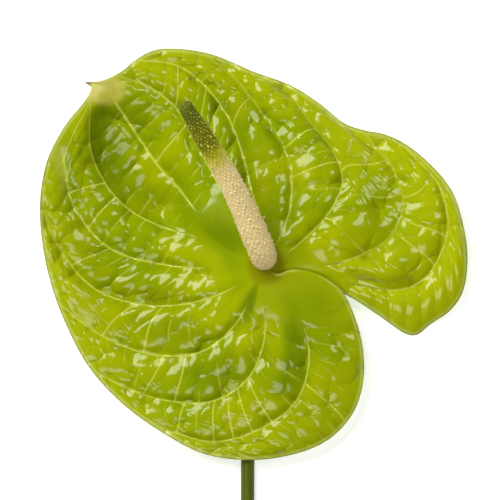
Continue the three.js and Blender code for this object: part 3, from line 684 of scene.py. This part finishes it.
# A floret sits at each crossing of two spirals, so p and q are whole at its middle.
# The net is drawn a little out of true and the florets are of uneven size.
turn = side_at * np.pi / FLORETS_AROUND
sway = 0.22 * np.sin(5 * turn + 1.7 * ring_at) + 0.16 * np.sin(9 * turn - 2.3 * ring_at)
climb = 0.18 * np.sin(7 * turn + 2.9 * ring_at) + 0.14 * np.sin(3 * turn - 1.3 * ring_at)
p, q = (side_at + sway + ring_at + climb) / 2, (side_at + sway - ring_at - climb) / 2
ring_no, side_no = np.round(p) - np.round(q), np.round(p) + np.round(q)
sizes = np.random.default_rng(FLORET_SEED).uniform(0, 1, (FLORET_RINGS + 4, 2 * FLORETS_AROUND))
size = sizes[ring_no.astype(int), side_no.astype(int) % (2 * FLORETS_AROUND)]
p, q = p - np.round(p), q - np.round(q)
pillow = (1 - (2 * p) ** 2) * (1 - (2 * q) ** 2)
from_middle = np.hypot((p + q) * FLORET_HALF_WIDTH, (p - q) * total / FLORET_RINGS)
dot = np.exp(-(from_middle / (0.24 + 0.12 * size)) ** 2)
bold = smoothstep(0.55, 0.75, grow)[:, None]
raised_by = FLORET_HEIGHT * smoothstep(0.5, 2, ring_at) * (
    (0.25 + 0.55 * bold) * pillow * (0.7 + 0.6 * size)
    + (0.85 - 0.35 * bold) * dot * (0.3 + 0.9 * size))
widths = smooth_line(SPADIX_RADII)
radius = np.interp(grow, widths[:, 0], widths[:, 1])[:, None] + raised_by
radius = radius * closing[:, None]
angle = (side_at + 0.5) * np.pi / FLORETS_AROUND + FLORET_TWIST * ring_at
spadix_points, spadix_faces = closed_tube(tube(spine, radius, angle), spine[0], spine[-1])
spadix = make_piece(
    "spadix_florets", spadix_points, spadix_faces,
    measures={"grown": np.r_[0, np.repeat(grow, angle.shape[1]), 1],
              "floret": np.r_[0, pillow.ravel(), 0], "stigma": np.r_[0, dot.ravel(), 0],
              "size": np.r_[0, size.ravel(), 0]})
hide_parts("spadix")

FLORET_CREAM = colour(252, 230, 174)
FLORET_GAP = colour(246, 220, 162)
FLORET_BUFF = colour(246, 217, 160)
FLORET_DOT = colour(252, 234, 182)
FLORET_LIME = colour(200, 196, 26)
FLORET_OLIVE = colour(122, 124, 0)
FLORET_DARK = colour(100, 112, 18)
POLLEN = colour(208, 206, 82)
material, w, shader = new_finish("spadix", Roughness=0.75, IOR=1.3)
place = w.node("TexCoord", output=3)
grown, floret, stigma, size = map(w.measure, ("grown", "floret", "stigma", "size"))
grain, patchy = w.noise(place, 2200.0, 2.0), w.noise(place, 260.0, 1.0)
ripe = grown + (patchy - 0.5) * 0.08
cream = floret.step(0.0, 0.4).mix(FLORET_GAP, FLORET_CREAM)
cream = (patchy.step(0.4, 0.7) * 0.5).mix(cream, FLORET_BUFF)
cream = (grain.step(0.45, 0.7) * 0.4).mix(cream, FLORET_BUFF)
cream = (stigma.step(0.3, 0.8) * size.step(0.3, 0.8) * 0.4).mix(cream, FLORET_DOT)
green = ripe.step(0.8, 0.93).mix(FLORET_OLIVE, FLORET_DARK)
green = ripe.step(0.76, 0.66).mix(green, FLORET_LIME)
dots = stigma.step(0.05, 0.5) * (size.step(0.0, 0.6) * 0.6 + 0.4)
dots = dots * (ripe.step(1.0, 0.84) * 0.65 + 0.35)
green = (dots * 0.85).mix(green, POLLEN)
skin = ripe.step(0.55, 0.7).mix(cream, green)
finish(spadix, material, w, shader, Base_Color=skin,
       Normal=w.node("Bump", inputs={"Strength": 0.5, "Distance": 0.00008, "Height": grain}))

# ------------------------------------------------------------------- stalk
# The flower stalk is a smooth round green stem, cut square at its foot and
# swelling a little into the neck that carries spathe and spadix.
STALK_RADIUS = 2.37
STALK_SIDES = 64
STALK_RINGS = 240
NECK_RADIUS = 2.7
NECK_LENGTH = 16
NECK_DOME = 3
NECK_CROWDING = 2.2            # rings lie closer together towards the neck by this power
SOLID_SIDES = 16               # the solid is a prism with its flats on the table
AXIS_HEIGHT = STALK_RADIUS * math.cos(math.pi / SOLID_SIDES)
SEAT_GAP = 0.35                # clearance between pieces where they meet
NECK_TOP = NODE[2] - BLADE_THICKNESS - 2 * SEAT_GAP
STALK_SPINE = [
    (-5.6, -440, AXIS_HEIGHT), (-6, -200, AXIS_HEIGHT), (-6.4, -70, AXIS_HEIGHT),
    (-5.9, -42, 2.4), (-4.9, -25, 2.75), (-3.6, -12.5, 4.1), (-1.6, -5.2, 6.4),
    (-0.35, -1.1, 9.9), (0, 0, NECK_TOP)]
line = smooth_line(STALK_SPINE)
total = running_length(line)[-1]
from_top = total * (1 - np.linspace(0, 1, STALK_RINGS + 1)) ** NECK_CROWDING
spine = points_at(line, total - from_top)
spine[:, 2] = np.maximum(spine[:, 2], AXIS_HEIGHT)
dome = np.sin(np.pi / 2 * np.minimum(1, (from_top + 0.5) / NECK_DOME))
radius = (NECK_RADIUS + (STALK_RADIUS - NECK_RADIUS)
          * smoothstep(2, NECK_LENGTH, from_top)) * dome
angle = np.linspace(0, 2 * np.pi, STALK_SIDES, endpoint=False)[None, :]
# Faint ribs, as shares of the radius.
ribs = 0.008 * np.sin(9 * angle) + 0.004 * np.sin(23 * angle + 1)
stalk_points, stalk_faces = closed_tube(
    tube(spine, radius[:, None] * (1 + ribs), angle), spine[0], spine[-1])
stalk_points[:, 2] = np.maximum(stalk_points[:, 2], TABLE_GAP)
stalk = make_piece(
    "stalk_stem", stalk_points, stalk_faces,
    measures={"from_foot": np.r_[0, np.repeat(total - from_top, STALK_SIDES), total]})
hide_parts("stalk")

STALK_GREEN = colour(90, 107, 4)
STALK_OLIVE = colour(86, 89, 12)
STALK_PALE = colour(122, 138, 30)
CUT_PALE = colour(190, 196, 130)
material, w, shader = new_finish("stalk", Roughness=0.45, IOR=1.33)
place = w.node("TexCoord", output=3)
stretched = w.node("Mapping", inputs={"Vector": place, "Scale": (1.0, 0.06, 1.0)})
streak, speck = w.noise(stretched, 900.0, 3.0), w.noise(place, 1500.0, 1.0)
skin = streak.step(0.35, 0.65).mix(STALK_OLIVE, STALK_GREEN)
skin = (speck.step(0.62, 0.75) * 0.5).mix(skin, STALK_PALE)
skin = w.measure("from_foot").step(0.6, 0.05).mix(skin, CUT_PALE)
finish(stalk, material, w, shader, Base_Color=skin,
       Normal=w.node("Bump", inputs={"Strength": 0.4, "Distance": 0.0001, "Height": streak}))

# ------------------------------------------------------------ table and light
# A white table top, lit from soft boxes above and a little light from all round.
SCALE = 0.35                   # millimetres per pixel at the spathe
PICTURE = 500                  # pixels
EYE_HEIGHT = 1250
SPATHE_HEIGHT = 8
SIGHT = np.array([-5.6, 5.6, 0]) + PLACE   # the camera looks straight down on it
TABLE_SIDE = 8                 # metres
TABLE_WHITE = (0.9, 0.9, 0.9, 1)
TABLE_GLOW = (0.9, 0.93, 1, 1)

table = bpy.data.meshes.new("table_top")
table.from_pydata([(x * TABLE_SIDE / 2, y * TABLE_SIDE / 2, 0)
                   for x, y in ((-1, -1), (1, -1), (1, 1), (-1, 1))], [], [(0, 1, 2, 3)])
table = bpy.data.objects.new("table_top", table)
bpy.context.scene.collection.objects.link(table)

camera = bpy.data.cameras.new("camera")
camera.sensor_width = 36
camera.lens = camera.sensor_width * (EYE_HEIGHT - SPATHE_HEIGHT) / (SCALE * PICTURE)
camera = bpy.data.objects.new("camera", camera)
camera.location = (SIGHT[0] * MM, SIGHT[1] * MM, EYE_HEIGHT * MM)
bpy.context.scene.collection.objects.link(camera)
bpy.context.scene.camera = camera
bpy.context.scene.view_settings.view_transform = "Standard"

material, w, shader = new_finish("table", Roughness=0.9, Emission_Strength=0.6)
shader.inputs["Base Color"].default_value = TABLE_WHITE
shader.inputs["Emission Color"].default_value = TABLE_GLOW
table.data.materials.append(material)

# Each soft box: the way it stands from the flower (degrees from +X towards +Y), its
# tilt from straight up, its distance, width and length in metres, and its radiance.
LAMP_WHITE = (1.0, 0.985, 0.83)
ROOM_LIGHT = 0.03
SOFT_BOXES = {
    "key": (132, 43, 1.5, 1.0, 0.75, 8.4),
    "right": (20, 38, 1.5, 0.36, 0.48, 6.8),
    "foot": (262, 30, 1.6, 0.8, 0.5, 4.6)}
LIT_SPOT = np.array([0, 0.19, 0.01])       # in metres, which all of them face
for name, (turn, tilt, distance, wide, long, glow) in SOFT_BOXES.items():
    turn, tilt = math.radians(turn), math.radians(tilt)
    lamp = bpy.data.lights.new(name, "AREA")
    lamp.shape, lamp.size, lamp.size_y = "RECTANGLE", wide, long
    lamp.energy = glow * math.pi * wide * long
    lamp.color = LAMP_WHITE
    lamp = bpy.data.objects.new(name, lamp)
    lamp.location = LIT_SPOT + distance * np.array(
        [math.sin(tilt) * math.cos(turn), math.sin(tilt) * math.sin(turn), math.cos(tilt)])
    lamp.rotation_euler = (tilt, 0, turn + math.pi / 2)
    bpy.context.scene.collection.objects.link(lamp)
world = bpy.data.worlds.new("room")
world.use_nodes = True
background = world.node_tree.nodes["Background"]
background.inputs["Color"].default_value = (1, 1, 1, 1)
background.inputs["Strength"].default_value = ROOM_LIGHT
bpy.context.scene.world = world
